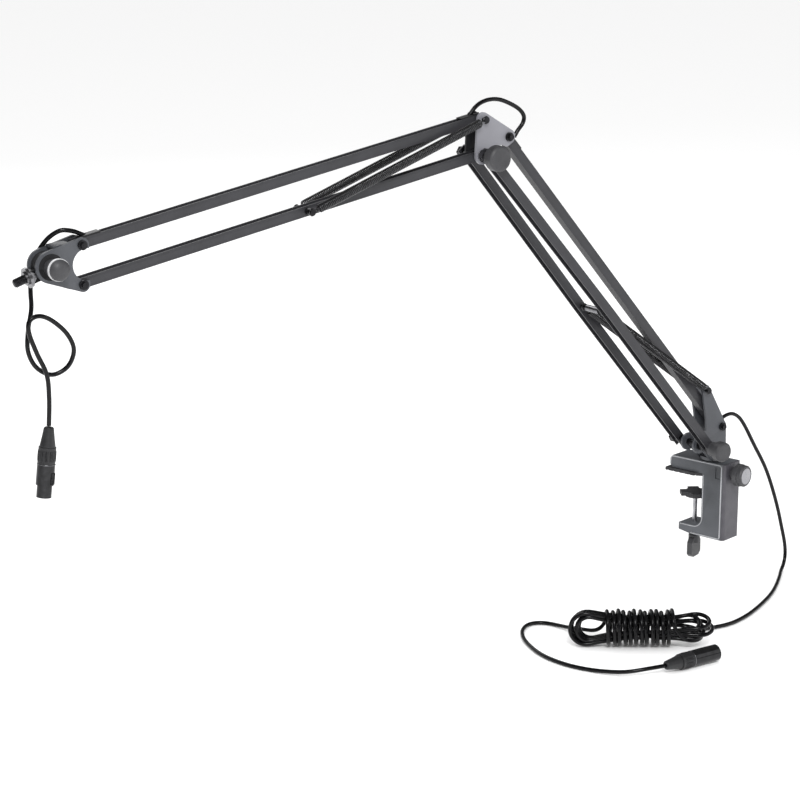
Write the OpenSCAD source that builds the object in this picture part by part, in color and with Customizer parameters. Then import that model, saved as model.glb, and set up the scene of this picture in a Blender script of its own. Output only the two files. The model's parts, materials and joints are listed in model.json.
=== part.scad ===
// Spring-balanced desk arm for a microphone, on a table clamp, with its XLR lead.
// Origin: on the spindle's axis, at the underside of the upper jaw's pad.
// +Z up, +Y from the column towards the jaw's tip. The arm plane is turned by arm_yaw.

/* [Arm] */
// Lower arm, pivot to pivot
lower_len = 510; // [420:5:560]
// Forearm, pivot to pivot
fore_len = 500; // [420:5:560]
// Spacing of the two pivots of each parallelogram
pivot_gap = 40; // [36:1:44]
// Angle of the lower arm above the horizontal
lower_angle = 48.8; // [40:0.2:60]
// Angle of the forearm below the horizontal
fore_angle = 10.6; // [0:0.2:20]
// Angle of the link bar's pivots above the horizontal
link_angle = 27.7; // [24:0.1:32]
// Turn of the whole arm on the clamp
arm_yaw = -14; // [-30:1:0]

/* [Bars] */
// Width of a bar across the arm plane
bar_w = 12; // [10:0.5:14]
// Height of a bar in the arm plane
bar_h = 11; // [10:0.5:13]
// Wall of the channel section
bar_wall = 1.5; // [1:0.1:2]
// Half distance of the paired bars at the base
pair_wide = 28; // [27:0.5:30]
// Half distance of the paired bars at the elbow
pair_narrow = 19.5; // [19:0.5:21]

/* [Clamp] */
// Width of the clamp
clamp_w = 35; // [32:1:40]
// Height of the column below the pad face
column_drop = 78; // [74:1:84]
// Free height between the jaw pad and the lower lip
throat_h = 66; // [60:1:68]
// Distance from the spindle to the column's throat face
throat_in = 21; // [20:1:24]
// Depth of the column
column_d = 33.5; // [30:0.5:36]
// Thickness of the upper jaw
jaw_h = 16; // [14:1:18]

/* [Lead] */
// Diameter of the cable
cable_d = 4.8; // [4:0.1:6.5]

/* [Hidden] */
$fn = 48;
EPS = 0.01;
RUN = 0.05;             // radial running clearance of a pin
GAP = 0.3;              // gap between faces of different bodies

// Clamp levels
pad_t = 4;
clamp_top = pad_t + jaw_h;
back_y = -throat_in - column_d;
swivel_y = -25;
jaw_tip = 28;
pad_tip = 32;
lip_tip = 12;
lip_top = -throat_h;
lip_t = 9;
lock_z = 6.5;
post_r = 6;
bush_r = 8;
bush_len = 15.2;
bush_floor = 1;
spindle_r = 3;
press_z = -26;
press_t = 7;
handle_top = -84;
cover_t = 4;

// Arm frame: X away from the microphone end, Y away from the near side, origin on the base axle
axle_rise = 26;
swivel_offset = 34;
plate_t = 3;
base_in = 9;            // inner face of the base bracket's plates
elbow_in = 8;           // inner face of the elbow's and the head's plates
axle_r = 4;
pin_r = 3;
small_pin_r = 2.5;
pin_end = 17;
low_dir = 180 - lower_angle;
fore_dir = 180 + fore_angle;
function polar(r, a) = [r * cos(a), r * sin(a)];
Q0 = [0, 0];
Q2 = polar(pivot_gap, link_angle);
P0 = polar(lower_len, low_dir);
P1 = P0 + [0, pivot_gap];
P2 = P0 + Q2;
T0 = P0 + polar(fore_len, fore_dir);
T1 = T0 + [0, pivot_gap];
S0 = [6.5, 69];           // spring pin of the base
cross_at = 250;         // cross pin along the lower arm
anchor_at = 230;        // spring anchor along the forearm
S1 = polar(cross_at, low_dir);
S2 = P0 + polar(anchor_at, fore_dir);
low_spring_y = 16.9;
fore_spring_y = 15.9;
coil_r = 4.6;
wire_r = 0.8;
hook_low = 8;
hook_fore = 7;

// Head
K = T0 + [-34, 21];     // axis of the tilt block and its knob
tilt_dir = 198;
barrel_r = 13.4;
stud_r = 4.76;          // 3/8 inch
stud_len = 12;

// Cable routes in the arm frame, chosen by hand
mic_route = [[-838, 0, 344], [-845, 1, 345], [-854, 5, 341], [-863, 13, 333], [-872, 14.5, 320],
    [-874, 15, 303], [-873, 14, 287], [-874, 12, 268], [-880, 10, 246], [-881, 9, 226], [-873, 8, 209],
    [-857, 7, 200], [-841, 4, 207], [-835, 1, 224], [-843, -1, 242], [-860, -3, 258], [-874, -4, 264],
    [-884, -4, 260], [-885, -4, 248], [-877, -3, 226], [-867, -2, 203], [-865, -1, 178], [-866, 0, 148.5]];
elbow_route = [[-343.6, 0, 432.4], [-339, 0, 437], [-331, 0, 441.5], [-319, 0, 444], [-306, 0, 443], [-292, 0, 438],
    [-279, 0, 431], [-272, 0, 423], [-273, 0, 415], [-280, 0, 407], [-285, 0, 400]];
lead_route = [[44, 0, 25], [53, 0, 28.5], [63, 0, 29], [74, 0, 23], [86, 0, 8], [101, 0, -16], [125, 0, -54],
    [145, 0, -100], [158, 0, -140], [163, -1, -160], [163, -3, -175], [158, -6, -186], [148, -12, -190],
    [124, -32, -190], [94, -57, -190], [46, -88, -190], [4, -112, -190], [-34, -132, -190], [-64, -145, -186],
    [-90, -156, -178], [-110, -166, -172]];
tail_route = [[-250, -70, -174], [-258, -50, -180], [-260, -28, -187], [-252, -6, -190], [-252, 8, -190],
    [-262, 14, -190], [-275, 6, -190], [-287, -20, -190], [-297, -52, -190], [-300, -86, -190],
    [-293, -122, -190], [-279, -153, -190], [-258, -182, -188], [-236, -197, -184], [-214, -203, -183]];
hank_from = [-253, -69];
hank_to = [-108, -167];
hank_w = 58;
hank_h = 46;
floor_z = -192.4;
male_pos = [-214, -203, -183];
male_dir = 0;
plug_r = 9.4;
female_pos = [-866, 0, 148.5];
female_lean = 7;
latch_side = -62;
cable_sides = 10;
ring_step = 11;

// ---------- helpers ----------
module arm_frame() {
    translate([0, swivel_y, clamp_top + axle_rise]) rotate([0, 0, arm_yaw])
        translate([-swivel_offset, 0, 0]) children();
}
module at(p, dir = 0) {
    translate([p[0], 0, p[1]]) rotate([0, -dir, 0]) children();
}
module ycyl(r, y0, y1) {
    translate([0, y0, 0]) rotate([-90, 0, 0]) cylinder(r = r, h = y1 - y0);
}
module yhex(r, y0, y1) {
    translate([0, y0, 0]) rotate([-90, 0, 0]) cylinder(r = r, h = y1 - y0, $fn = 6);
}
function arc(c, r, a0, a1, n = 12) = [for (k = [0 : n]) let (a = a0 + (a1 - a0) * k / n) c + polar(r, a)];
module plate2d(y0, t) {
    translate([0, y0 + t, 0]) rotate([90, 0, 0]) linear_extrude(t) children();
}
module both_sides() {
    children();
    mirror([0, 1, 0]) children();
}
module ring(r, tube) {
    rotate([90, 0, 0]) rotate_extrude() translate([r, 0]) circle(r = tube, $fn = 16);
}

// channel from x0 to x1 along local X with its open side at local -Z
module channel(x0, x1) {
    difference() {
        translate([x0, -bar_w / 2, -bar_h / 2]) cube([x1 - x0, bar_w, bar_h]);
        translate([x0 - 1, -bar_w / 2 + bar_wall, -bar_h / 2 - 1])
            cube([x1 - x0 + 2, bar_w - 2 * bar_wall, bar_h - bar_wall + 1]);
    }
}
module pivot_bore(x, r) {
    translate([x, 0, 0]) ycyl(r, -bar_w, bar_w);
}
// knob turned about local Y, its face towards -Y: a narrow hub, then the grip and a stepped face
module knob(r, hub_r, y_back, y_grip, y_face, bore_r, bore_to) {
    face_r = r - 2.4;
    difference() {
        rotate([90, 0, 0]) rotate_extrude() polygon([[0, y_back], [hub_r, y_back], [hub_r, y_grip], [r, y_grip],
            [r, y_face - 2.4], [r - 0.8, y_face - 1.2], [face_r, y_face], [0, y_face]]);
        ycyl(bore_r, -bore_to, -y_back + 1);
    }
}

// ---------- cable sweep ----------
function unit(v) = v / norm(v);
function catmull(p, i, t) = let (n = len(p), a = p[max(i - 1, 0)], b = p[i], c = p[min(i + 1, n - 1)],
    d = p[min(i + 2, n - 1)])
    0.5 * (2 * b + (c - a) * t + (2 * a - 5 * b + 4 * c - d) * t * t + (3 * b - a - 3 * c + d) * t * t * t);
function smooth_path(p) = concat([for (i = [0 : len(p) - 2], k = [0 : steps(p, i) - 1])
    catmull(p, i, k / steps(p, i))], [p[len(p) - 1]]);
function steps(p, i) = max(1, round(norm(p[i + 1] - p[i]) / ring_step));
function tangent(q, i) = unit(q[min(i + 1, len(q) - 1)] - q[max(i - 1, 0)]);
function side_next(s, t) = unit(s - (s * t) * t);
function sides(q, i, s) = i >= len(q) ? [] : let (n = side_next(s, tangent(q, i))) concat([n], sides(q, i + 1, n));
module tube(route, d) {
    q = smooth_path(route);
    s = sides(q, 0, [0.31, 0.93, 0.17]);
    m = cable_sides;
    points = [for (i = [0 : len(q) - 1], k = [0 : m - 1]) let (t = tangent(q, i), b = cross(t, s[i]),
        a = 360 * k / m) q[i] + d / 2 * (cos(a) * s[i] + sin(a) * b)];
    faces = concat([[for (k = [0 : m - 1]) k]],
        [for (i = [0 : len(q) - 2], k = [0 : m - 1]) let (a = i * m + k, b = i * m + (k + 1) % m)
            [a, a + m, b + m, b]],
        [[for (k = [0 : m - 1]) len(q) * m - 1 - k]]);
    polyhedron(points = points, faces = faces, convexity = 10);
}

// ---------- clamp ----------
module clamp_outline() {
    corner = 12;
    polygon([[back_y + cover_t, clamp_top], [jaw_tip - 4, clamp_top], [jaw_tip, clamp_top - 4],
        [jaw_tip, pad_t + 4], [jaw_tip - 4, pad_t], [-throat_in, pad_t], [-throat_in, lip_top],
        [lip_tip, lip_top], [lip_tip, lip_top - lip_t], [-6, -column_drop], [back_y + cover_t, -column_drop]]);
    translate([-throat_in, lip_top]) difference() {
        square(corner);
        translate([corner, corner]) circle(r = corner);
    }
}
module clamp_body() color("#4c5057") difference() {
    rotate([90, 0, 90]) translate([0, 0, -clamp_w / 2]) linear_extrude(clamp_w) clamp_outline();
    translate([0, swivel_y, clamp_top - bush_len]) cylinder(r = bush_r, h = bush_len + 1);
    translate([0, 0, -column_drop - 1]) cylinder(r = spindle_r + RUN, h = throat_h);
    translate([0, swivel_y, lock_z]) ycyl(spindle_r + RUN, back_y - swivel_y - 1, 0);
    for (side = [-1, 1])
        translate([side * clamp_w / 2, back_y + 10.5, 8]) cube([2, 8, 14.5], center = true);
}
module clamp_back_cover() color("#5a5d66") difference() {
    round_r = cover_t;
    translate([0, 0, -column_drop]) linear_extrude(column_drop + clamp_top) {
        translate([-clamp_w / 2 + round_r, back_y]) square([clamp_w - 2 * round_r, cover_t]);
        for (side = [-1, 1]) intersection() {
            translate([side * (clamp_w / 2 - round_r), back_y + round_r]) circle(r = round_r);
            translate([-clamp_w / 2, back_y]) square([clamp_w, cover_t]);
        }
    }
    translate([0, back_y, lock_z]) ycyl(spindle_r + 1, -1, cover_t + 1);
}
module jaw_pad() color("#2e3034") difference() {
    linear_extrude(pad_t) polygon([[-15, -throat_in], [15, -throat_in], [22, -10], [22, pad_tip],
        [-22, pad_tip], [-22, -10]]);
    for (k = [-2 : 3]) translate([-23, k * 8 + 3, -EPS]) cube([46, 1.6, 0.8]);
}
module swivel_bush() color("#d8d6cf") translate([0, swivel_y, clamp_top - bush_len]) difference() {
    cylinder(r = bush_r, h = bush_len);
    translate([0, 0, bush_floor]) cylinder(r = post_r + RUN, h = bush_len);
    translate([0, 0, lock_z - clamp_top + bush_len]) ycyl(spindle_r + 1, -bush_r - 1, 0);
}
module pressure_pad() color("#3a3c40") translate([0, 0, press_z - press_t]) difference() {
    union() {
        for (a = [0, 90]) rotate([0, 0, a + 45]) translate([-19, -7, 2]) cube([38, 14, press_t - 2]);
        cylinder(r = 13, h = press_t);
    }
    translate([0, 0, -1]) cylinder(r = spindle_r + 1.5 + RUN, h = press_t - 2);
}
module clamp_spindle() color("#8d9095") union() {
    translate([0, 0, handle_top - 4]) cylinder(r = spindle_r, h = press_z - press_t - handle_top + 4);
    translate([0, 0, press_z - press_t]) cylinder(r = spindle_r + 1.5, h = 4);
}
module wing_handle() color("#34363a") translate([0, 0, handle_top]) difference() {
    union() {
        translate([0, 0, -10]) cylinder(r = 7, h = 10);
        rotate([0, 0, 8]) rotate([90, 0, 0]) translate([0, 0, -3.5]) linear_extrude(7)
            polygon([[-8, -3], [8, -3], [12, -9], [12, -24], [7, -28], [-7, -28], [-12, -24], [-12, -9]]);
    }
    translate([0, 0, -4]) cylinder(r = spindle_r, h = 5);
}

// ---------- swivel lock ----------
module lock_screw() color("#9a9ca0") translate([0, swivel_y, lock_z])
    ycyl(spindle_r, back_y - swivel_y - 16, -post_r - GAP);
module lock_knob() color("#303236") translate([0, back_y - GAP, lock_z]) difference() {
    rotate([90, 0, 0]) rotate_extrude() polygon([[0, 0], [8, 0], [8, 5], [14.2, 6.9], [14.2, 12],
        [13, 12.8], [13.5, 13.5], [13.5, 17.5], [12.5, 18.9], [0, 18.9]]);
    ycyl(spindle_r, -16 + GAP, 1);
    ycyl(10, -20, -17.9);
}
module lock_knob_cap() color("#c9cace") translate([0, back_y - GAP, lock_z]) ycyl(10, -19.3, -17.9);

// ---------- swivel base ----------
module swivel_post() color("#9a9ca0") translate([0, swivel_y, clamp_top - bush_len + bush_floor + GAP])
    cylinder(r = post_r, h = bush_len - bush_floor - GAP + 1.5);
module swivel_washer() color("#1c1d1f") translate([0, swivel_y, clamp_top + GAP]) difference() {
    cylinder(r = 15, h = 1.2);
    translate([0, 0, -1]) cylinder(r = post_r, h = 4);
}
module base_side() difference() {
    polygon(concat(arc(Q0, 11, 80, 300), [[20, -24], [47, -24], [43, -8]], arc(Q2, 7, -15, 45),
        arc(S0, 6.5, 20, 160), [[4.5, 52], [8.5, 33], [9.5, 17]]));
    translate(S0) circle(r = small_pin_r);
    circle(r = axle_r);
    translate(Q2) circle(r = pin_r);
}
module base_bracket() color("#54575e") arm_frame() difference() {
    union() {
        for (y = [-base_in - plate_t, base_in]) plate2d(y, plate_t) base_side();
        translate([swivel_offset, 0, -24.5]) cylinder(r = 17, h = 4);
    }
    translate([swivel_offset, 0, -26]) cylinder(r = post_r, h = 7);
}
module hook_pin(y) {
    end = y + 2.1;
    ycyl(small_pin_r, -end, end);
    for (e = [-end, end - 1]) ycyl(3.3, e, e + 1);
}
module headed_pin(r, y_end, head_r, head_at) {
    ycyl(r, -y_end, y_end);
    for (y = [-head_at - 2.4, head_at]) ycyl(head_r, y, y + 2.4);
}
module base_spring_pin() color("#2a2b2e") arm_frame() at(S0) difference() {
    hook_pin(low_spring_y);
    ycyl(small_pin_r + 1, -base_in, base_in);
}
module base_link_pin() color("#2a2b2e") arm_frame() at(Q2) headed_pin(pin_r, pin_end, 5, base_in + plate_t);
module base_axle() color("#3a3c40") arm_frame() union() {
    ycyl(axle_r, -50, 38);
    yhex(6.5, pair_wide + bar_w / 2 + GAP, pair_wide + bar_w / 2 + 6);
}
module base_spacers() color("#17181a") arm_frame() both_sides() difference() {
    y0 = base_in + plate_t;
    y1 = pair_wide - bar_w / 2 - GAP;
    union() {
        ycyl(5.2, y0, y1);
        ycyl(6.2, y0, y0 + 2.5);
        ycyl(6.2, y1 - 2.5, y1);
    }
    ycyl(axle_r, y0 - 1, y1 + 1);
}
module base_knob() color("#2c2d31") arm_frame()
    knob(12.4, 9, pair_wide + bar_w / 2 + GAP, 46, 56.4, axle_r + RUN, 50.5);

// ---------- lower arm ----------
module paired_bar(side) {
    end = 9;
    tip = 7;
    c = cross_at;
    w = bar_w / 2;
    difference() {
        at(Q0, low_dir) difference() {
            translate([0, 0, -bar_h / 2]) linear_extrude(bar_h) scale([1, side]) polygon([[-end, pair_wide - w],
                [c, pair_wide - w], [lower_len + tip, pair_narrow - w], [lower_len + tip, pair_narrow + w],
                [c, pair_wide + w], [-end, pair_wide + w]]);
            translate([0, 0, -bar_h / 2 + bar_wall]) linear_extrude(bar_h) scale([1, side])
                polygon([[-end - 1, pair_wide - w + bar_wall], [c, pair_wide - w + bar_wall],
                [lower_len + tip + 1, pair_narrow - w + bar_wall], [lower_len + tip + 1, pair_narrow + w - bar_wall],
                [c, pair_wide + w - bar_wall], [-end - 1, pair_wide + w - bar_wall]]);
            translate([c, 0, 0]) ycyl(small_pin_r, -pair_wide, pair_wide);
        }
        at(Q0) ycyl(axle_r + RUN, -pair_wide - bar_w, pair_wide + bar_w);
        at(P0) ycyl(axle_r + RUN, -pair_wide - bar_w, pair_wide + bar_w);
    }
}
module far_bar() color("#4a4c52") arm_frame() paired_bar(1);
module near_bar() color("#4a4c52") arm_frame() paired_bar(-1);
module cross_pin() color("#2a2b2e") arm_frame() at(S1) union() {
    ycyl(small_pin_r, -pair_wide, pair_wide);
    both_sides() ycyl(3.4, pair_wide - bar_w / 2 + bar_wall + 0.1, pair_wide);
}
module cross_sleeve() color("#a8a9ad") arm_frame() at(S1) difference() {
    ycyl(4, -11.5, 11.5);
    ycyl(small_pin_r, -12, 12);
}
module link_bar() color("#4a4c52") arm_frame() at(Q2, low_dir) difference() {
    channel(-4.5, lower_len + 7);
    pivot_bore(0, pin_r + RUN);
    pivot_bore(lower_len, pin_r + RUN);
}
module link_bar_clip() color("#1c1d1f") arm_frame() at(Q2, low_dir)
    translate([lower_len - 26, -5, -bar_h / 2 - 1.6]) cube([18, 10, 1.6]);

// ---------- springs ----------
module spring(from, to, y, hook) {
    d = to - from;
    a = atan2(d[1], d[0]);
    length = norm(d);
    loop_r = small_pin_r + wire_r + 0.5;
    translate([0, y, 0]) at(from, a) {
        translate([hook, 0, 0]) rotate([0, 90, 0]) cylinder(r = coil_r, h = length - 2 * hook);
        for (x = [loop_r, length - hook - 1]) translate([x, 0, 0]) rotate([0, 90, 0])
            cylinder(r = wire_r, h = hook - loop_r + 1, $fn = 16);
        ring(loop_r, wire_r);
        translate([length, 0, 0]) ring(loop_r, wire_r);
    }
}
module lower_springs() color("#1a1b1d") arm_frame()
    for (side = [-1, 1]) spring(S0, S1, side * low_spring_y, hook_low);
module forearm_springs() color("#1a1b1d") arm_frame()
    for (side = [-1, 1]) spring(P1, S2, side * fore_spring_y, hook_fore);

// ---------- elbow ----------
module elbow_side() difference() {
    hull() {
        circle(r = 10);
        translate([0, pivot_gap]) circle(r = 8);
        translate(Q2) circle(r = 8.5);
    }
    translate([24, -9]) circle(r = 19);
    circle(r = axle_r);
    translate([0, pivot_gap]) circle(r = small_pin_r);
    translate(Q2) circle(r = pin_r);
}
module elbow_bracket() color("#8b8d95") arm_frame() translate([P0[0], 0, P0[1]]) union() {
    for (y = [-elbow_in - plate_t, elbow_in]) plate2d(y, plate_t) elbow_side();
    slope = atan2(Q2[1] - pivot_gap, Q2[0]);
    translate([0, 0, pivot_gap]) rotate([0, -slope, 0])
        translate([12, -elbow_in - 1, 6]) cube([16, 2 * elbow_in + 2, 1.9]);
}
module elbow_axle() color("#2a2b2e") arm_frame() at(P0) union() {
    ycyl(axle_r, -37, 31);
    yhex(7, pair_narrow + bar_w / 2 + 0.7, pair_narrow + bar_w / 2 + 5.5);
}
module elbow_washers() color("#a8a9ad") arm_frame() at(P0) both_sides() difference() {
    ycyl(7.5, elbow_in + plate_t, pair_narrow - bar_w / 2 - 0.7);
    ycyl(axle_r, elbow_in, pair_narrow);
}
module elbow_upper_pin() color("#2a2b2e") arm_frame() at(P1) hook_pin(fore_spring_y);
module elbow_link_pin() color("#17181a") arm_frame() at(P2) headed_pin(pin_r, pin_end, 5, elbow_in + plate_t);
module elbow_knob() color("#2c2d31") arm_frame() at(P0)
    knob(14.4, 10.5, pair_narrow + bar_w / 2 + 0.7, 33.4, 45.2, axle_r + RUN, 37.5);
module elbow_cable() color("#0c0c0d") arm_frame() tube(elbow_route, cable_d);

// ---------- forearm ----------
module round_channel(from, x0, x1, r0, r1) {
    at(from, fore_dir) difference() {
        channel(x0, x1);
        pivot_bore(0, r0 + RUN);
        pivot_bore(fore_len, r1 + RUN);
        children();
    }
}
module forearm_lower_bar() color("#4a4c52") arm_frame() round_channel(P0, -7, fore_len + 6, axle_r, pin_r)
    pivot_bore(anchor_at, small_pin_r);
module forearm_upper_bar() color("#4a4c52") arm_frame()
    round_channel(P1, -6, fore_len + 6, small_pin_r, pin_r);
module spring_anchor_pin() color("#2a2b2e") arm_frame() at(S2) union() {
    hook_pin(fore_spring_y);
    both_sides() ycyl(3.8, bar_w / 2, 13.6);
}
module upper_bar_clips() color("#1c1d1f") arm_frame() at(P1, fore_dir)
    for (x = [3, fore_len - 25]) translate([x, -5, -bar_h / 2 - 1.6]) cube([22, 10, 1.6]);
module channel_cables() color("#0c0c0d") arm_frame() at(P1, fore_dir)
    translate([34, 0, -1]) rotate([0, 90, 0]) cylinder(r = cable_d / 2, h = fore_len - 68);

// ---------- head ----------
module head_side(hole_r) difference() {
    hull() {
        circle(r = 7.5);
        translate([0, pivot_gap]) circle(r = 7.5);
        translate(K - T0) circle(r = 16.5);
    }
    translate([5.5, pivot_gap / 2]) circle(r = 16.3);
    circle(r = pin_r);
    translate([0, pivot_gap]) circle(r = pin_r);
    translate(K - T0) circle(r = hole_r);
}
module head_bracket() color("#565960") arm_frame() translate([T0[0], 0, T0[1]]) {
    plate2d(-elbow_in - plate_t, plate_t) head_side(barrel_r + RUN);
    plate2d(elbow_in, plate_t) head_side(4 + RUN);
    translate([-30, -elbow_in - 1, 39]) rotate([0, -7, 0]) cube([18, 2 * elbow_in + 2, 2]);
    translate([-21, -elbow_in - 1, -1]) rotate([0, 20, 0]) cube([8, 2 * elbow_in + 2, 2]);
}
module head_upper_pin() color("#17181a") arm_frame() at(T1) headed_pin(pin_r, 16, 5, elbow_in + plate_t);
module head_lower_pin() color("#17181a") arm_frame() at(T0) headed_pin(pin_r, 16, 5, elbow_in + plate_t);
module head_bolt() color("#a8a9ad") arm_frame() at(K) union() {
    ycyl(4, -33, elbow_in + plate_t + 2);
    yhex(7, elbow_in + plate_t, elbow_in + plate_t + 5);
}
module head_knob() color("#2c2d31") arm_frame() at(K) difference() {
    union() {
        ycyl(8.5, -28, -elbow_in - plate_t - GAP);
        ycyl(10.6, -31, -23.4);
        translate([0, -22, 0]) intersection() {
            sphere(r = 14.2);
            ycyl(10.6, -20, 0);
        }
    }
    ycyl(4 + RUN, -33.5, -elbow_in);
}
module tilt_block() color("#1f2023") arm_frame() at(K) difference() {
    union() {
        ycyl(barrel_r, -elbow_in - plate_t, elbow_in - GAP);
        rotate([0, -tilt_dir, 0]) translate([0, 0, 3]) {
            translate([8, -6.5, -6.5]) cube([13, 13, 13]);
            translate([21 - EPS, 0, 0]) rotate([0, 90, 0]) cylinder(r = 10.5, h = 3.2);
            translate([24, 0, 0]) rotate([0, 90, 0]) cylinder(r = 7, h = 2.4);
        }
    }
    ycyl(4 + RUN, -20, 20);
}
module thread_stud() color("#8d9095") arm_frame() at(K) rotate([0, -tilt_dir, 0]) translate([26.4, 0, 3])
    rotate([0, 90, 0]) cylinder(r = stud_r, h = stud_len);

// ---------- connectors ----------
// along local +Z from the cable's end to the mating face
module xlr_boot() difference() {
    rotate_extrude() polygon([[0, 0], [4.2, 0], [5.2, 1.2], [6.3, 9], [8, 19], [8, 20.5], [0, 20.5]]);
    translate([0, 0, -1]) cylinder(r = cable_d / 2, h = 7);
}
module xlr_bushing() translate([0, 0, 20.5]) difference() {
    cylinder(r = 9, h = 17.5);
    for (k = [0 : 11]) rotate([0, 0, 30 * k]) translate([9.3, 0, 3.5]) cylinder(r = 0.9, h = 10.5);
}
module female() arm_frame() translate(female_pos) rotate([0, female_lean, 0]) mirror([0, 0, 1]) children();
module female_boot() color("#232427") female() xlr_boot();
module female_bushing() color("#2b2c30") female() xlr_bushing();
module female_shell() color("#1c1d20") female() translate([0, 0, 38]) difference() {
    union() {
        cylinder(r = 9.3, h = 21.5);
        cylinder(r = 7.8, h = 34.5);
        rotate([0, 0, latch_side]) translate([7.2, -2.6, 8]) cube([3, 5.2, 12]);
    }
    translate([0, 0, 20]) cylinder(r = 6.9, h = 20);
}
module female_insert() color("#121214") female() translate([0, 0, 58]) difference() {
    cylinder(r = 6.9, h = 13.8);
    for (a = [90, 210, 330]) rotate([0, 0, a]) translate([3.5, 0, 2]) cylinder(r = 1.25, h = 20);
}
module male() arm_frame() translate(male_pos) rotate([0, 0, male_dir]) rotate([0, 90, 0]) children();
module male_boot() color("#232427") male() xlr_boot();
module male_bushing() color("#2b2c30") male() xlr_bushing();
module male_shell() color("#1c1d20") male() translate([0, 0, 38]) difference() {
    cylinder(r = plug_r, h = 38);
    translate([0, 0, 20]) cylinder(r = 8, h = 20);
}
module male_insert() color("#121214") male() translate([0, 0, 58]) {
    cylinder(r = 8, h = 3);
    for (a = [90, 210, 330]) rotate([0, 0, a]) translate([3.5, 0, 2]) cylinder(r = 1.2, h = 13);
}

// ---------- cable ----------
module mic_cord() color("#0c0c0d") arm_frame() tube(mic_route, cable_d);
module lead_cord() color("#0c0c0d") arm_frame() tube(lead_route, cable_d);
module lead_tail() color("#0c0c0d") arm_frame() tube(tail_route, cable_d);
module lead_hank() color("#101012") arm_frame() {
    d = hank_to - hank_from;
    translate([hank_from[0], hank_from[1], floor_z]) rotate([0, 0, atan2(d[1], d[0])]) linear_extrude(hank_h) {
        translate([hank_w / 2, -hank_w / 2]) square([norm(d) - hank_w, hank_w]);
        translate([hank_w / 2, 0]) circle(r = hank_w / 2);
        translate([norm(d) - hank_w / 2, 0]) circle(r = hank_w / 2);
    }
}

clamp_body();
clamp_back_cover();
jaw_pad();
swivel_bush();
pressure_pad();
clamp_spindle();
wing_handle();
lock_screw();
lock_knob();
lock_knob_cap();
swivel_post();
swivel_washer();
base_bracket();
base_spring_pin();
base_link_pin();
base_axle();
base_spacers();
base_knob();
far_bar();
near_bar();
cross_pin();
cross_sleeve();
link_bar();
link_bar_clip();
lower_springs();
elbow_bracket();
elbow_axle();
elbow_washers();
elbow_upper_pin();
elbow_link_pin();
elbow_knob();
elbow_cable();
forearm_lower_bar();
spring_anchor_pin();
forearm_upper_bar();
upper_bar_clips();
channel_cables();
forearm_springs();
head_bracket();
head_upper_pin();
head_lower_pin();
head_bolt();
head_knob();
tilt_block();
thread_stud();
mic_cord();
female_boot();
female_bushing();
female_shell();
female_insert();
lead_cord();
lead_hank();
lead_tail();
male_boot();
male_bushing();
male_shell();
male_insert();
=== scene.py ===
import json
import math

import bpy
from mathutils import Matrix, Vector


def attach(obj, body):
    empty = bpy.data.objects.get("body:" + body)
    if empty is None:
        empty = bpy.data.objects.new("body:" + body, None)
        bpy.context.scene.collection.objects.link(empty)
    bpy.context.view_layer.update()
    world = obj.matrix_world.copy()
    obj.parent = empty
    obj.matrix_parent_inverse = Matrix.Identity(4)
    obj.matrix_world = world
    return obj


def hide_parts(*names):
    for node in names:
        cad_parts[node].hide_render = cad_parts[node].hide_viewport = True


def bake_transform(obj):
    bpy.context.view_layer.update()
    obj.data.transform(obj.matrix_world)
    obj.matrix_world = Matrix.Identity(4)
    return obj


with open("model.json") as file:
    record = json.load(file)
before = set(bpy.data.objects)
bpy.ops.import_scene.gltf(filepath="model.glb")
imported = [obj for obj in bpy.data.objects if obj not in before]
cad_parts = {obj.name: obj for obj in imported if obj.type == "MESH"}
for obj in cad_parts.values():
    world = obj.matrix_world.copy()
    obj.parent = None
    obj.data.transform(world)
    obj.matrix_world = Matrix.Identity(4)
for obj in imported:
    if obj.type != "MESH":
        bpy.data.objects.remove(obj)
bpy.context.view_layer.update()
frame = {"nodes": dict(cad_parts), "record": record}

MM = 0.001
TAU = 2 * math.pi

# ---------------------------------------------------------------- the arm's own frame
# X away from the microphone end, Y away from the near side, Z up, origin on the base axle, in millimetres.
ARM_YAW = math.radians(-14)
SWIVEL_Y = -25
AXLE_Z = 46
SWIVEL_OFFSET = 34
ARM = (
    Matrix.Translation((0, SWIVEL_Y * MM, AXLE_Z * MM))
    @ Matrix.Rotation(ARM_YAW, 4, "Z")
    @ Matrix.Translation((-SWIVEL_OFFSET * MM, 0, 0))
)
LOWER_LEN, FORE_LEN, PIVOT_GAP = 510, 500, 40
CROSS_PIN_AT, SPRING_ANCHOR_AT = 250, 230
CLAMP_W = 35
LOWER_ANGLE, FORE_ANGLE = math.radians(48.8), math.radians(10.6)
CABLE_D = 4.8
FLOOR_Z = -192.4


def arm(x, y, z):
    """A point of the arm frame, in mm, as a point of the row frame, in metres."""
    return ARM @ Vector((x * MM, y * MM, z * MM))


P0 = Vector((-LOWER_LEN * math.cos(LOWER_ANGLE), 0, LOWER_LEN * math.sin(LOWER_ANGLE)))
P1 = P0 + Vector((0, 0, PIVOT_GAP))
T0 = P0 + Vector((-FORE_LEN * math.cos(FORE_ANGLE), 0, -FORE_LEN * math.sin(FORE_ANGLE)))
HEAD = T0 + Vector((-34, 0, 21))
SPRING_TOP_BASE = Vector((6.5, 0, 69))
CROSS_PIN = Vector((-CROSS_PIN_AT * math.cos(LOWER_ANGLE), 0, CROSS_PIN_AT * math.sin(LOWER_ANGLE)))
FEMALE_POS, FEMALE_LEAN = Vector((-866, 0, 148.5)), math.radians(7)
MALE_POS = Vector((-214, -203, -183))
SPRING_ANCHOR = P0 + Vector((
    -SPRING_ANCHOR_AT * math.cos(FORE_ANGLE), 0, -SPRING_ANCHOR_AT * math.sin(FORE_ANGLE)))


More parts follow.
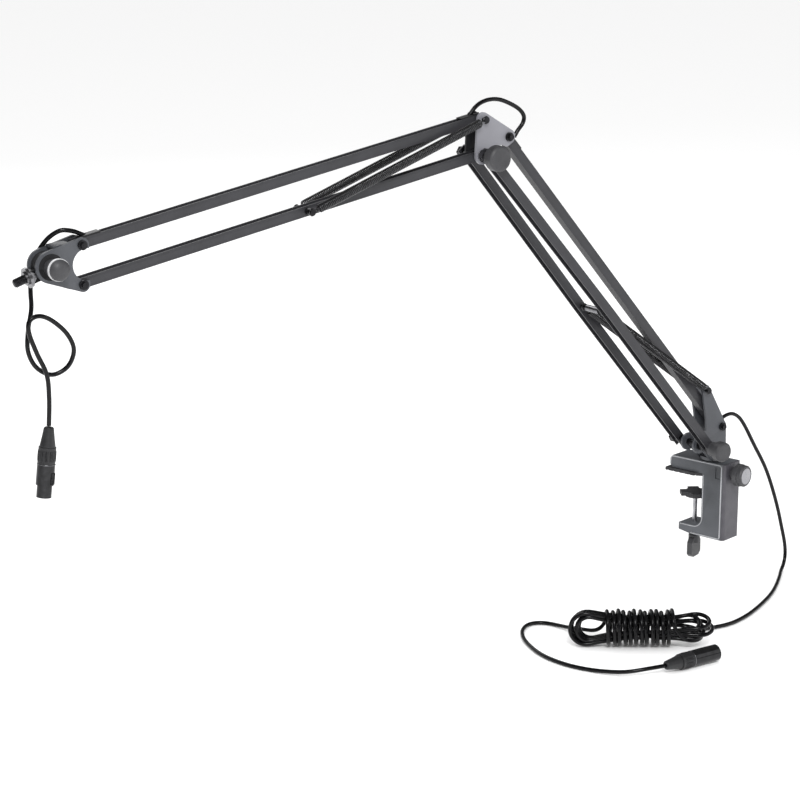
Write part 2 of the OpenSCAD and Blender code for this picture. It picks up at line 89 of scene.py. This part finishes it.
# ---------------------------------------------------------------- camera, light and floor
def make_camera():
    """A long lens on the microphone's side of the arm; the eye is a point of the arm frame, in mm."""
    eye = Vector((-1743, -1932, 702))
    yaw, pitch = math.radians(34.0), math.radians(14.1)
    look = Vector((math.sin(yaw) * math.cos(pitch), math.cos(yaw) * math.cos(pitch), -math.sin(pitch)))
    right = Vector((math.cos(yaw), -math.sin(yaw), 0))
    up = right.cross(look)
    data = bpy.data.cameras.new("camera")
    data.sensor_width = 36
    data.lens = 96.75
    data.clip_end = 50
    camera = bpy.data.objects.new("camera", data)
    turn = Matrix((right, up, -look)).transposed().to_4x4()
    camera.matrix_world = ARM @ Matrix.Translation(eye * MM) @ turn
    bpy.context.scene.collection.objects.link(camera)
    bpy.context.scene.camera = camera


def area_light(name, place, target, size, power):
    """A square soft light; place, target and size are in metres, power in watts."""
    data = bpy.data.lights.new(name, "AREA")
    data.size = size
    data.energy = power
    light = bpy.data.objects.new(name, data)
    place, target = Vector(place), Vector(target)
    aim = (target - place).to_track_quat("-Z", "Y").to_matrix().to_4x4()
    light.matrix_world = Matrix.Translation(place) @ aim
    bpy.context.scene.collection.objects.link(light)


def make_stage():
    """A white floor under the lead, a white room that is dimmer in reflections, and three soft lights."""
    size, gap = 14, 0.0004
    floor_z = arm(0, 0, FLOOR_Z).z - gap
    seen, reflected = 1.0, 0.12
    mesh = bpy.data.meshes.new("floor")
    corners = [(-size, -size), (size, -size), (size, size), (-size, size)]
    mesh.from_pydata([(x, y, floor_z) for x, y in corners], [], [(0, 1, 2, 3)])
    floor = bpy.data.objects.new("floor", mesh)
    bpy.context.scene.collection.objects.link(floor)
    mesh.materials.append(plain("floor_white", (0.99, 0.99, 0.99), 0.9))
    world = bpy.data.worlds.new("studio")
    bpy.context.scene.world = world
    world.use_nodes = True
    background = world.node_tree.nodes["Background"]
    background.inputs["Color"].default_value = (1, 1, 1, 1)
    rays = world.node_tree.nodes.new("ShaderNodeLightPath")
    strength = world.node_tree.nodes.new("ShaderNodeMapRange")
    strength.inputs["To Min"].default_value = seen
    strength.inputs["To Max"].default_value = reflected
    world.node_tree.links.new(rays.outputs["Is Glossy Ray"], strength.inputs["Value"])
    world.node_tree.links.new(strength.outputs["Result"], background.inputs["Strength"])
    middle = (-0.4, 0, 0.2)
    area_light("key", (-2.2, -1.9, 2.4), middle, 0.8, 70)
    area_light("fill", (1.6, -2.6, 1.2), middle, 2.0, 16)
    area_light("back", (0.5, 2.4, 2.2), middle, 1.8, 25)
    bpy.context.scene.view_settings.view_transform = "Standard"


# ---------------------------------------------------------------- materials
def plain(name, colour, roughness):
    """One colour, for the floor only."""
    mat = bpy.data.materials.new(name)
    mat.use_nodes = True
    shader = mat.node_tree.nodes["Principled BSDF"]
    shader.inputs["Base Color"].default_value = (*colour, 1)
    shader.inputs["Roughness"].default_value = roughness
    return mat


class Nodes:
    """A small helper that adds nodes to a material and links them."""

    def __init__(self, name):
        self.mat = bpy.data.materials.new(name)
        self.mat.use_nodes = True
        self.tree = self.mat.node_tree
        self.shader = self.tree.nodes["Principled BSDF"]
        self.coords = self.tree.nodes.new("ShaderNodeTexCoord")

    def noise(self, scale, detail=3, stretch=(1, 1, 1)):
        """Noise in object coordinates, so that it stays on the piece."""
        mapping = self.tree.nodes.new("ShaderNodeMapping")
        mapping.inputs["Scale"].default_value = stretch
        self.tree.links.new(self.coords.outputs["Object"], mapping.inputs["Vector"])
        noise = self.tree.nodes.new("ShaderNodeTexNoise")
        noise.inputs["Scale"].default_value = scale
        noise.inputs["Detail"].default_value = detail
        self.tree.links.new(mapping.outputs["Vector"], noise.inputs["Vector"])
        return noise.outputs["Fac"]

    def ramp(self, fac, low, high, start=0.3, stop=0.7):
        """low where fac is at most start, high where it is at least stop."""
        ramp = self.tree.nodes.new("ShaderNodeMapRange")
        ramp.inputs["From Min"].default_value = start
        ramp.inputs["From Max"].default_value = stop
        ramp.inputs["To Min"].default_value = low
        ramp.inputs["To Max"].default_value = high
        self.tree.links.new(fac, ramp.inputs["Value"])
        return ramp.outputs["Result"]

    def mix(self, fac, colour_a, colour_b):
        """Either colour is a tuple or another node's socket."""
        socket_a, socket_b, socket_out = 6, 7, 2
        mix = self.tree.nodes.new("ShaderNodeMix")
        mix.data_type = "RGBA"
        self.tree.links.new(fac, mix.inputs["Factor"])
        for socket, value in ((socket_a, colour_a), (socket_b, colour_b)):
            if isinstance(value, tuple):
                mix.inputs[socket].default_value = (*value, 1)
            else:
                self.tree.links.new(value, mix.inputs[socket])
        return mix.outputs[socket_out]

    def edges(self):
        """1 on outward edges, where wear and a painted highlight go, and 0 elsewhere."""
        wear_and_highlight_from, wear_and_highlight_fully = 0.53, 0.62
        geometry = self.tree.nodes.new("ShaderNodeNewGeometry")
        return self.ramp(geometry.outputs["Pointiness"], 0, 1, wear_and_highlight_from, wear_and_highlight_fully)

    def bump(self, height, strength, distance):
        """distance is in mm."""
        bump = self.tree.nodes.new("ShaderNodeBump")
        bump.inputs["Strength"].default_value = strength
        bump.inputs["Distance"].default_value = distance * MM
        self.tree.links.new(height, bump.inputs["Height"])
        self.tree.links.new(bump.outputs["Normal"], self.shader.inputs["Normal"])

    def set(self, **values):
        names = {"metallic": "Metallic", "specular": "Specular IOR Level"}
        for key, value in values.items():
            self.shader.inputs[names[key]].default_value = value

    def colour(self, socket):
        self.tree.links.new(socket, self.shader.inputs["Base Color"])

    def roughness(self, socket):
        self.tree.links.new(socket, self.shader.inputs["Roughness"])


def powder_coat(name, dark, light, rough=(0.36, 0.5), edge_wear_and_highlight=0.25, gloss=0.5):
    """Textured paint on metal, with a fine orange peel and paler outward edges that are partly wear and
    partly a painted highlight.
    """
    clouds, grain, depth, wear_and_highlight_gain, wear_and_highlight_lift = 45, 1400, 0.05, 2.2, 0.05
    n = Nodes(name)
    cloud = n.ramp(n.noise(clouds, 4), 0, 1)
    base = n.mix(cloud, dark, light)
    edge = n.tree.nodes.new("ShaderNodeMath")
    edge.operation = "MULTIPLY"
    edge.inputs[1].default_value = edge_wear_and_highlight
    n.tree.links.new(n.edges(), edge.inputs[0])
    # paler outward edges: partly wear, partly a painted highlight where the edges catch the light
    worn_and_lit = tuple(min(1, c * wear_and_highlight_gain + wear_and_highlight_lift) for c in light)
    n.colour(n.mix(edge.outputs[0], base, worn_and_lit))
    fine = n.noise(grain, 2)
    n.roughness(n.ramp(fine, *rough))
    n.set(specular=gloss)
    n.bump(fine, 0.35, depth)
    return n.mat


def moulded(name, dark, light, rough=(0.42, 0.6)):
    """Moulded plastic or rubber with a fine spark-eroded texture."""
    clouds, grain, depth = 60, 900, 0.06
    n = Nodes(name)
    n.colour(n.mix(n.ramp(n.noise(clouds, 4), 0, 1), dark, light))
    fine = n.noise(grain)
    n.roughness(n.ramp(fine, *rough))
    n.bump(fine, 0.3, depth)
    return n.mat


def cable_skin(name):
    """Smooth, slightly uneven PVC sheath."""
    clouds, grain, depth = 120, 500, 0.05
    n = Nodes(name)
    n.colour(n.mix(n.ramp(n.noise(clouds, 4), 0, 1), (0.002, 0.002, 0.0023), (0.005, 0.005, 0.006)))
    n.set(specular=0.22)
    fine = n.noise(grain)
    n.roughness(n.ramp(fine, 0.16, 0.28))
    n.bump(fine, 0.15, depth)
    return n.mat


def bare_metal(name, dark, light):
    """Zinc-plated or nickel-plated steel with turning marks."""
    clouds, grain, depth, drawn_out = 160, 700, 0.03, (1, 0.12, 1)
    n = Nodes(name)
    n.set(metallic=1.0)
    n.colour(n.mix(n.ramp(n.noise(clouds, 4), 0, 1), dark, light))
    marks = n.noise(grain, stretch=drawn_out)
    n.roughness(n.ramp(marks, 0.22, 0.38))
    n.bump(marks, 0.15, depth)
    return n.mat


def dark_metal(name, dark, light, rough=(0.3, 0.45)):
    """Black oxide or black chrome on steel."""
    clouds, grain, depth = 180, 900, 0.03
    n = Nodes(name)
    n.set(metallic=0.75)
    n.colour(n.mix(n.ramp(n.noise(clouds, 4), 0, 1), dark, light))
    fine = n.noise(grain)
    n.roughness(n.ramp(fine, *rough))
    n.bump(fine, 0.15, depth)
    return n.mat


def make_materials():
    """The record's slots by name, then five that only this script uses."""
    return {
        "casting": powder_coat("clamp_casting", (0.036, 0.039, 0.045), (0.052, 0.056, 0.064)),
        "cover": moulded("column_cover", (0.052, 0.05, 0.06), (0.074, 0.071, 0.082)),
        "bar_paint": powder_coat("bar_paint", (0.01, 0.01, 0.012), (0.017, 0.017, 0.0205), gloss=0.4),
        "bracket_paint": powder_coat("bracket_paint", (0.028, 0.03, 0.036), (0.042, 0.045, 0.052)),
        "elbow_paint": powder_coat("elbow_paint", (0.095, 0.095, 0.107), (0.13, 0.13, 0.145), edge_wear_and_highlight=0.4),
        "pad": moulded("rubber_pad", (0.016, 0.016, 0.018), (0.03, 0.03, 0.033), (0.55, 0.75)),
        "knob": moulded("knob_plastic", (0.03, 0.03, 0.033), (0.046, 0.046, 0.05)),
        "knob_cap": moulded("knob_disc", (0.2, 0.2, 0.215), (0.3, 0.3, 0.315), (0.25, 0.35)),
        "bearing": moulded("bush_plastic", (0.6, 0.59, 0.55), (0.7, 0.69, 0.65)),
        "steel": bare_metal("plated_steel", (0.36, 0.36, 0.38), (0.52, 0.52, 0.54)),
        "black_steel": dark_metal("black_oxide", (0.012, 0.012, 0.014), (0.028, 0.028, 0.031)),
        "spring_steel": dark_metal("spring_wire", (0.04, 0.04, 0.042), (0.075, 0.075, 0.078), (0.12, 0.2)),
        "clip": moulded("clip_plastic", (0.006, 0.006, 0.007), (0.012, 0.012, 0.014), (0.3, 0.45)),
        "cable": cable_skin("cable_sheath"),
        "plug_rubber": moulded("plug_rubber", (0.009, 0.009, 0.01), (0.016, 0.016, 0.018), (0.4, 0.55)),
        "plug_shell": dark_metal("black_chrome", (0.02, 0.02, 0.021), (0.034, 0.034, 0.036), (0.1, 0.17)),
        "plug_insert": moulded("insert_plastic", (0.012, 0.012, 0.012), (0.02, 0.02, 0.02)),
        # painted highlight: the clamp's beads painted far lighter than the casting
        "rim_painted_highlight": powder_coat("clamp_rim_painted_highlight", (0.2, 0.205, 0.215), (0.3, 0.305, 0.32), (0.25, 0.35)),
        "collar": moulded("knob_collar", (0.5, 0.5, 0.51), (0.62, 0.62, 0.63), (0.3, 0.4)),
        # painted shade: near-black paint for the elbow bracket's far plate, which lies in the near plate's
        # shade
        "web_painted_shade": powder_coat("elbow_web_painted_shade", (0.006, 0.006, 0.007), (0.011, 0.011, 0.013), gloss=0.15),
        "sleeve": bare_metal("sleeve_steel", (0.16, 0.16, 0.17), (0.26, 0.26, 0.27)),
        # painted shade: the tilt block's round part painted near-black as the shaded recess round the head
        # knob
        "barrel_painted_shade": powder_coat("tilt_barrel_painted_shade", (0.004, 0.004, 0.0045), (0.007, 0.007, 0.008), gloss=0.12),
    }


# ---------------------------------------------------------------- mesh helpers
def new_piece(name, verts, faces, material, smooth=True):
    """A mesh object from points in metres of the row frame."""
    mesh = bpy.data.meshes.new(name)
    mesh.from_pydata(verts, [], faces)
    mesh.materials.append(MATERIALS[material])
    mesh.validate()
    mesh.polygons.foreach_set("use_smooth", [smooth] * len(mesh.polygons))
    piece = bpy.data.objects.new(name, mesh)
    bpy.context.scene.collection.objects.link(piece)
    return piece


def catmull(points, per_mm):
    """A smooth list of points through the given ones, with so many of them for each mm."""
    out = []
    n = len(points)
    for i in range(n - 1):
        a, b, c, d = (points[max(i - 1, 0)], points[i], points[i + 1], points[min(i + 2, n - 1)])
        count = max(1, round((c - b).length * per_mm))
        for k in range(count):
            t = k / count
            out.append(0.5 * (2 * b + (c - a) * t + (2 * a - 5 * b + 4 * c - d) * t * t
                              + (3 * b - a - 3 * c + d) * t ** 3))
    out.append(points[-1].copy())
    return out


def frames(path):
    """The tangent and two side vectors at each point of the path, carried along without twist."""
    n = len(path)
    tangents = [(path[min(i + 1, n - 1)] - path[max(i - 1, 0)]).normalized() for i in range(n)]
    side = tangents[0].orthogonal().normalized()
    result = []
    for t in tangents:
        side = (side - t * side.dot(t)).normalized()
        result.append((t, side, t.cross(side)))
    return result


def skin(rings, sides, closed=False):
    """Faces over rings of points: a tube with flat ends or, if closed, one that joins up with itself."""
    total = rings * sides
    faces = []
    for i in range(rings if closed else rings - 1):
        for k in range(sides):
            a, b = i * sides + k, i * sides + (k + 1) % sides
            faces.append((a, b, (b + sides) % total, (a + sides) % total))
    if not closed:
        faces.append(tuple(reversed(range(sides))))
        faces.append(tuple(total - sides + k for k in range(sides)))
    return faces


def across(axis):
    """The axis made one unit long, and two directions square to it."""
    axis = Vector(axis).normalized()
    u = axis.orthogonal().normalized()
    return axis, u, axis.cross(u)


def tube(name, path, radius, material, sides=12):
    """A closed round tube in mm along a path of the arm frame."""
    verts = []
    for p, (_, u, v) in zip(path, frames(path)):
        for k in range(sides):
            a = TAU * k / sides
            verts.append(ARM @ ((p + u * (radius * math.cos(a)) + v * (radius * math.sin(a))) * MM))
    return new_piece(name, verts, skin(len(path), sides), material)


# ---------------------------------------------------------------- cables
def as_points(rows):
    """Routes are in mm of the arm frame."""
    return [Vector(r) for r in rows]


MIC_ROUTE = as_points([
    (-818, 0, 338.5), (-825, 0, 341.8), (-832, 1, 344.6), (-842.6, 4, 345.8), (-851.8, 8.5, 340.5),
    (-859.4, 12, 332), (-865.5, 13.6, 322), (-869.5, 14.5, 312), (-872.5, 15, 300), (-873.5, 14, 285),
    (-874.5, 12, 268), (-880, 10, 246), (-881, 9, 226), (-873, 8, 209),
    (-857, 7, 200), (-841, 4, 207), (-835, 1, 224), (-843, -1, 242), (-860, -3, 258), (-874, -4, 264),
    (-884, -4, 260), (-885, -4, 248), (-877, -3, 226), (-867, -2, 203), (-865, -1, 178), (-866, 0, 150)])
ELBOW_ROUTE = as_points([
    (-348, 0, 427.5), (-343.6, 0, 432.4), (-339, 0, 437), (-331, 0, 441.5), (-319, 0, 444),
    (-306, 0, 443), (-292, 0, 438), (-279, 0, 431), (-272, 0, 423), (-273, 0, 415), (-280, 0, 407),
    (-285, 0, 400)])
LEAD_ROUTE = as_points([
    (36, 0, 19), (44, 0, 25), (53, 0, 28.5), (63, 0, 29), (74, 0, 23), (86, 0, 8), (101, 0, -16),
    (125, 0, -54), (145, 0, -100), (158, 0, -140), (163, -1, -160), (163, -3, -175), (158, -6, -186),
    (148, -12, -190), (128, -30, -190), (99, -54, -190), (70, -75, -190), (32, -97, -190),
    (-8, -116, -190), (-42, -126, -190), (-64, -126, -190), (-86, -124, -189.8)])
TAIL_ROUTE = as_points([
    (-216, -54, -184), (-219, -32, -188), (-223, -10, -190), (-232, 4, -190), (-247, 8, -190),
    (-266, -4, -190), (-282, -27, -190), (-292, -54, -190), (-298, -86, -190), (-294, -122, -190),
    (-280, -153, -190), (-258, -182, -188), (-236, -197, -184), (-214, -203, -183)])
HANK_FROM, HANK_TO = Vector((-253, -69, 0)), Vector((-108, -167, 0))


def smooth(t):
    """0 up to t = 0, 1 from t = 1, and a smooth step between."""
    t = min(1, max(0, t))
    return t * t * (3 - 2 * t)


def hank_path():
    """The lead runs into the hank's right end, makes long loops, then winds round their middle from right to
    left and leaves behind the left loops. The loops stand on edge at the left end and fan out flat at the
    right one. x runs along the hank, from its middle to the left."""
    along = (HANK_FROM - HANK_TO).normalized()
    back = Vector((along.y, -along.x, 0))
    up = Vector((0, 0, 1))
    wrap_a, wrap_b, clearance = 18.0, 20.0, 0.1
    middle = (HANK_FROM + HANK_TO) / 2 + up * (FLOOR_Z + wrap_b + CABLE_D / 2 + clearance)
    lie_flat, twist_from, twist_over = math.radians(76), -50, 90
    fan_gain, fan_from, fan_over = 0.75, -38, 30

    def place(x, opening, layer):
        turn = lie_flat * (1 - smooth((x - twist_from) / twist_over))
        fan = 1 + fan_gain * smooth((fan_from - x) / fan_over)
        open_dir = up * math.cos(turn) + back * math.sin(turn)
        layer_dir = back * math.cos(turn) - up * math.sin(turn)
        return middle + along * x + open_dir * opening + layer_dir * (layer * fan)

    def half_height(x, reach, opening, waist):
        return waist + (opening - waist) * (x / (reach - opening)) ** 2

    # left reach, right reach, half opening at the left end, half opening at the right end, layer
    loops = [
        (83, 82, 19.5, 15.5, -5.3), (76, 70, 15.5, 15, -5.3), (82, 86, 19.0, 16, 0.2),
        (75, 76, 15.5, 15, 0.2), (80, 74, 18.5, 15.5, 5.4), (72, 66, 15.5, 15, 5.4),
    ]
    outer_waist, inner_waist, end_steps = 11.5, 6.5, 8
    path = [middle + along * x + back * y + up * z
            for x, y, z in ((-66, 26, -19.5), (-53, 10, -16), (-40, -1, -10), (-22, -3, -8))]
    for k, (left, right, open_l, open_r, layer) in enumerate(loops):
        after = loops[min(k + 1, len(loops) - 1)][4]
        waist = outer_waist if k % 2 == 0 else inner_waist
        points = [(x, -half_height(x, left, open_l, waist)) for x in (0, 22, 44)]
        for j in range(end_steps + 1):
            a = math.radians(-90 + 180 * j / end_steps)
            points.append((left - open_l + open_l * math.cos(a), open_l * math.sin(a)))
        for x in (44, 22, 0, -22, -42):
            reach, opening = (left, open_l) if x > 0 else (right, open_r)
            points.append((x, half_height(x, reach, opening, waist)))
        for j in range(end_steps + 1):
            a = math.radians(90 + 180 * j / end_steps)
            points.append((-(right - open_r) + open_r * math.cos(a), open_r * math.sin(a)))
        if k < len(loops) - 1:
            points += [(-42, -half_height(-42, right, open_r, waist)), (-22, -waist)]
        for j, (x, y) in enumerate(points):
            path.append(place(x, y, layer + (after - layer) * smooth(j / len(points) * 3 - 2)))

    wraps, per_turn, first = 12.75, 20, 6
    wind_from, wind_over, slack, loose_ends = -41, 81, 0.035, 0.03
    total = round(wraps * per_turn)
    for j in range(first, total + 1):
        t = TAU * j / per_turn
        at_end = j < 24 or j > total - 16
        loose = 1 + slack * math.sin(0.31 * t) + loose_ends * (1 if at_end else 0)
        x = wind_from + wind_over * j / total + 0.7 * math.sin(0.43 * t) + 1.5 * math.sin(t)
        height = min(wrap_b * loose, wrap_b + 0.8)
        out = wrap_a * loose * math.sin(t)
        drop = height * math.cos(t) - height + wrap_b
        path.append(middle + along * x - back * out - up * drop)
    path += [middle + along * x + back * y + up * z for x, y, z in ((44, 19.5, -8), (52, 25, -13.5))]
    return path


def relax(path, rounds):
    """The path with its corners rounded; both ends stay."""
    for _ in range(rounds):
        inner = [path[i] * 0.5 + (path[i - 1] + path[i + 1]) * 0.25 for i in range(1, len(path) - 1)]
        path = [path[0], *inner, path[-1]]
    return path


def make_cables():
    """The three cables, with the paths of the two that are free cords."""
    cable_r = CABLE_D / 2
    mic_points = catmull(MIC_ROUTE, 0.5)
    mic = tube("microphone_cable", mic_points, cable_r, "cable")
    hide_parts("mic_cord")
    elbow = tube("elbow_loop_cable", catmull(ELBOW_ROUTE, 0.6), cable_r, "cable")
    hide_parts("elbow_cable")
    lead_points = relax(catmull(LEAD_ROUTE + hank_path() + TAIL_ROUTE, 0.35), 8)
    lead = tube("lead_cable", lead_points, cable_r, "cable", sides=10)
    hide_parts("lead_cord", "lead_hank", "lead_tail")
    return mic, elbow, lead, mic_points, lead_points


# ---------------------------------------------------------------- springs
def spring_path(start, stop, y, hook):
    """Centreline of one close-wound spring with a hook at each end, in the arm frame."""
    loop_r, coil_r, pitch, per_turn = 3.8, 4.25, 2.1, 14
    sweep, hook_steps, neck_at, neck_drop, end_r = 250, 18, 0.55, 0.4, 0.12
    offset = Vector((0, y, 0))
    axis = (stop - start).normalized()
    side = Vector((0, 1, 0))
    up = axis.cross(side)
    length = (stop - start).length

    def hook_points(centre, first):
        turns = [math.radians(first + sweep * s / hook_steps) for s in range(hook_steps + 1)]
        return [centre + offset + (axis * math.cos(a) + up * math.sin(a)) * loop_r for a in turns]

    total = int((length - 2 * hook) / pitch) * per_turn
    path = hook_points(start, 45)
    path.append(start + offset + axis * (hook * neck_at) - up * neck_drop)
    for s in range(total + 1):
        a = TAU * s / per_turn
        r = coil_r * (end_r + (1 - end_r) * min(1, s / per_turn, (total - s) / per_turn))
        x = hook + (length - 2 * hook) * s / total
        path.append(start + offset + axis * x + side * (r * math.sin(a)) - up * (r * math.cos(a)))
    path.append(stop + offset - axis * (hook * neck_at) - up * neck_drop)
    return path + hook_points(stop, -115)


def make_spring(name, start, stop, y, hook):
    """One spring between the points start and stop."""
    wire_r = 0.78
    spring = tube(name, spring_path(start, stop, y, hook), wire_r, "spring_steel", sides=6)
    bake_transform(spring)
    return spring


def make_springs():
    lower_y, lower_hook, fore_y, fore_hook = 16.9, 8, 15.9, 7
    for side, word in ((-1, "near"), (1, "far")):
        low = make_spring(f"lower_spring_{word}", SPRING_TOP_BASE, CROSS_PIN,
                          side * lower_y, lower_hook)
        fore = make_spring(f"forearm_spring_{word}", P1, SPRING_ANCHOR,
                           side * fore_y, fore_hook)
        if side < 0:
            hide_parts("lower_springs")
            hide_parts("forearm_springs")


# ---------------------------------------------------------------- metal and plastic details
def screw_mesh(name, place, axis, length, radius, pitch, depth, material, sides=32):
    """A rod with a true helical thread as a closed mesh, in mm of the arm frame."""
    axis, u, v = across(axis)
    rings_per_pitch, taper, tip_cut = 8, 1.2, 0.5
    rings = int(length / pitch * rings_per_pitch) + 1
    verts = []
    for i in range(rings + 1):
        h = length * i / rings
        fade = min(1, (length - h) / taper)
        for k in range(sides):
            a = TAU * k / sides
            phase = (h / pitch - k / sides) % 1.0
            tooth = 1 - abs(2 * phase - 1)
            r = radius - depth + depth * tooth * fade - (1 - fade) * tip_cut
            point = Vector(place) + axis * h + u * (r * math.cos(a)) + v * (r * math.sin(a))
            verts.append(ARM @ (point * MM))
    return new_piece(name, verts, skin(rings + 1, sides), material)


def make_stud():
    """The 3/8 inch stud: it leaves the tilt block's flange, a little above the block's axis."""
    angle, flange, rise = math.radians(198), 26.4, 3
    length, radius, pitch, depth = 12, 4.74, 1.588, 0.85
    along = Vector((math.cos(angle), 0, math.sin(angle)))
    normal = Vector((-math.sin(angle), 0, math.cos(angle)))
    place = HEAD + along * flange + normal * rise
    stud = screw_mesh("stud_thread", place, along, length, radius, pitch, depth, "black_steel")
    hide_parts("thread_stud")
    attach(stud, "tilt")


def knob_collar():
    """The bright collar round the head knob's grip."""
    inner, outer, back, front = 10.66, 11.4, -29.2, -26.4
    verts, sides = [], 64
    for y, r in ((back, inner), (back, outer), (front, outer), (front, inner)):
        for k in range(sides):
            a = TAU * k / sides
            verts.append(arm(HEAD.x + r * math.cos(a), y, HEAD.z + r * math.sin(a)))
    ring = new_piece("head_knob_collar", verts, skin(4, sides, closed=True), "collar", smooth=False)
    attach(ring, "head_knob_body")


def to_arm(node, point):
    """A mesh point of a node as a point of the arm frame, in mm."""
    return (ARM.inverted() @ (node.matrix_world @ point)) / MM


def repaint(node, material, inside):
    """Faces whose centre passes the test get a second material."""
    node.data.materials.append(MATERIALS[material])
    for face in node.data.polygons:
        if inside(to_arm(node, face.center)):
            face.material_index = 1


def on_barrel(p):
    """Within the tilt block's round part, which is painted near-black as painted shade of the recess round
    the head knob.
    """
    barrel_r = 17.5
    return math.hypot(p.x - HEAD.x, p.z - HEAD.z) < barrel_r


def behind_near_plate(p):
    """Farther away than the inner face of the elbow bracket's near plate, where the near plate's shade
    falls.
    """
    near_plate_inside = -7.9
    return p.y > near_plate_inside


def rim(name, outline, x, radius):
    """A rounded bead on the clamp's side, in mm of the row frame: outline is (y, z), x the side's place."""
    verts, sides = [], 8
    points = [Vector((x * MM, y * MM, z * MM)) for y, z in outline]
    for i, p in enumerate(points):
        ahead = (points[min(i + 1, len(points) - 1)] - points[max(i - 1, 0)]).normalized()
        out = Vector((1, 0, 0))
        side = ahead.cross(out)
        for k in range(sides):
            a = TAU * k / sides
            verts.append(p + (out * math.cos(a) + side * math.sin(a)) * radius * MM)
    # the bead's light paint is a painted highlight along the clamp's edges
    bead = new_piece(name, verts, skin(len(points), sides), "rim_painted_highlight")
    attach(bead, "clamp")


def arc_points(centre, r, start, stop, n=8):
    """Points of an arc; start and stop are in degrees."""
    turns = [math.radians(start + (stop - start) * i / n) for i in range(n + 1)]
    return [(centre[0] + r * math.cos(a), centre[1] + r * math.sin(a)) for a in turns]


def ring_piece(name, centre, axis, r, wire, material, body):
    """A thin closed ring round an axis, in mm of the arm frame."""
    axis, u, v = across(axis)
    verts, sides, around = [], 40, 8
    for k in range(sides):
        a = TAU * k / sides
        out = u * math.cos(a) + v * math.sin(a)
        for m in range(around):
            b = TAU * m / around
            point = Vector(centre) + out * (r + wire * math.cos(b)) + axis * (wire * math.sin(b))
            verts.append(arm(*point))
    ring = new_piece(name, verts, skin(sides, around, closed=True), material)
    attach(ring, body)


def connector_rings():
    """Of both connectors: the neck ring between bushing and shell, the rolled edge at the mouth, and the
    ribs of the bushing's grip."""
    female_axis = Vector((-math.sin(FEMALE_LEAN), 0, -math.cos(FEMALE_LEAN)))
    neck, neck_r, neck_wire, mouth_wire, rib_wire, ribs = 38.2, 9.15, 0.4, 0.5, 0.4, 24
    rib_profile = ((23.5, 8.75), (25, 9.05), (29.5, 9.12), (34, 9.05), (35.8, 8.75))
    for word, start, axis, body, mouth, mouth_r in (
            ("female", FEMALE_POS, female_axis, "head", 72.1, 7.4),
            ("male", MALE_POS, Vector((1, 0, 0)), "swivel", 75.6, 8.7)):
        ring_piece(f"{word}_neck_ring", start + axis * neck, axis, neck_r, neck_wire,
                   "sleeve", body)
        ring_piece(f"{word}_mouth_ring", start + axis * mouth, axis, mouth_r, mouth_wire,
                   "plug_shell", body)
        u = axis.orthogonal().normalized()
        v = axis.cross(u)
        for k in range(ribs):
            a = TAU * k / ribs
            out = u * math.cos(a) + v * math.sin(a)
            rib = [start + axis * h + out * r for h, r in rib_profile]
            fin = tube(f"{word}_grip_rib_{k}", rib, rib_wire, "plug_rubber", sides=6)
            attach(fin, body)


def clamp_rims():
    """Beads a little inside the outer and the throat edges of the clamp's two sides, painted far lighter
    than the casting as a painted highlight along those edges.
    """
    jaw_tip, pad, top, inner, lip, lip_tip, drop, back = 28, 4, 20, -21, -66, 12, -78, -50.5
    inset, corner, throat_corner, bead_r, throat_bead_r = 1.4, 3, 12, 0.9, 0.7
    corner_y = back + inset + corner
    top_corner = (corner_y, top - inset - corner)
    foot_corner = (corner_y, drop + inset + corner)
    outline = [(jaw_tip - inset, pad + 4), (jaw_tip - inset, top - 4), (jaw_tip - 4, top - inset),
               (corner_y, top - inset)]
    outline += arc_points(top_corner, corner, 90, 180)
    outline += [(back + inset, foot_corner[1])] + arc_points(foot_corner, corner, 180, 270)
    outline += [(-6, drop + inset)]
    throat = [(inner - inset, pad - 2)]
    throat += arc_points((inner + throat_corner, lip + throat_corner), throat_corner + inset, 180, 270)
    throat += [(lip_tip - inset, lip - inset)]
    side_x = CLAMP_W / 2 - 0.1
    for side, word in ((-1, "near"), (1, "far")):
        rim(f"clamp_rim_painted_highlight_{word}", outline, side * side_x, bead_r)
        rim(f"clamp_throat_rim_{word}", throat, side * side_x, throat_bead_r)


EDGE_RADII = {
    "clamp_body": 2.4, "clamp_back_cover": 1.2, "jaw_pad": 0.8, "pressure_pad": 1.0, "wing_handle": 1.6,
    "lock_knob": 0.6, "base_knob": 0.4, "elbow_knob": 0.4, "head_knob": 0.4, "far_bar": 0.6,
    "near_bar": 0.6, "link_bar": 0.6, "forearm_lower_bar": 0.6, "forearm_upper_bar": 0.6,
    "elbow_bracket": 0.5, "base_bracket": 0.5, "head_bracket": 0.5, "tilt_block": 0.5,
}
SMALL_EDGE_RADIUS = 0.25
BRIGHT_NODES = ("cross_sleeve", "tilt_block")


def finish_cad_nodes():
    """Each carried CAD node gets its slot's material and a small rounded edge."""
    slots = {s["node"]: s["material_slot"] for s in frame["record"]["subparts"]}
    bpy.context.view_layer.update()
    for name, node in frame["nodes"].items():
        material = "sleeve" if name in BRIGHT_NODES else slots[name]
        node.data.materials.clear()
        node.data.materials.append(MATERIALS[material])
        if name == "tilt_block":
            # the round part gets near-black paint as painted shade of the recess
            repaint(node, "barrel_painted_shade", on_barrel)
        # the far plate, in the near plate's shade, gets near-black paint as painted shade
        if name == "elbow_bracket":
            repaint(node, "web_painted_shade", behind_near_plate)
        bevel = node.modifiers.new("edge", "BEVEL")
        bevel.width = EDGE_RADII.get(name, SMALL_EDGE_RADIUS) * MM
        bevel.segments = 3 if name in EDGE_RADII else 2
        bevel.limit_method = "ANGLE"
        bevel.angle_limit = math.radians(35)
        bevel.harden_normals = False


# ---------------------------------------------------------------- build
MATERIALS = make_materials()
make_camera()
make_stage()
mic_cable, elbow_loop, lead_cable, mic_path, lead_path = make_cables()
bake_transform(elbow_loop)
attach(mic_cable, "head")
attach(lead_cable, "swivel")
make_springs()
make_stud()
knob_collar()
connector_rings()
clamp_rims()
finish_cad_nodes()
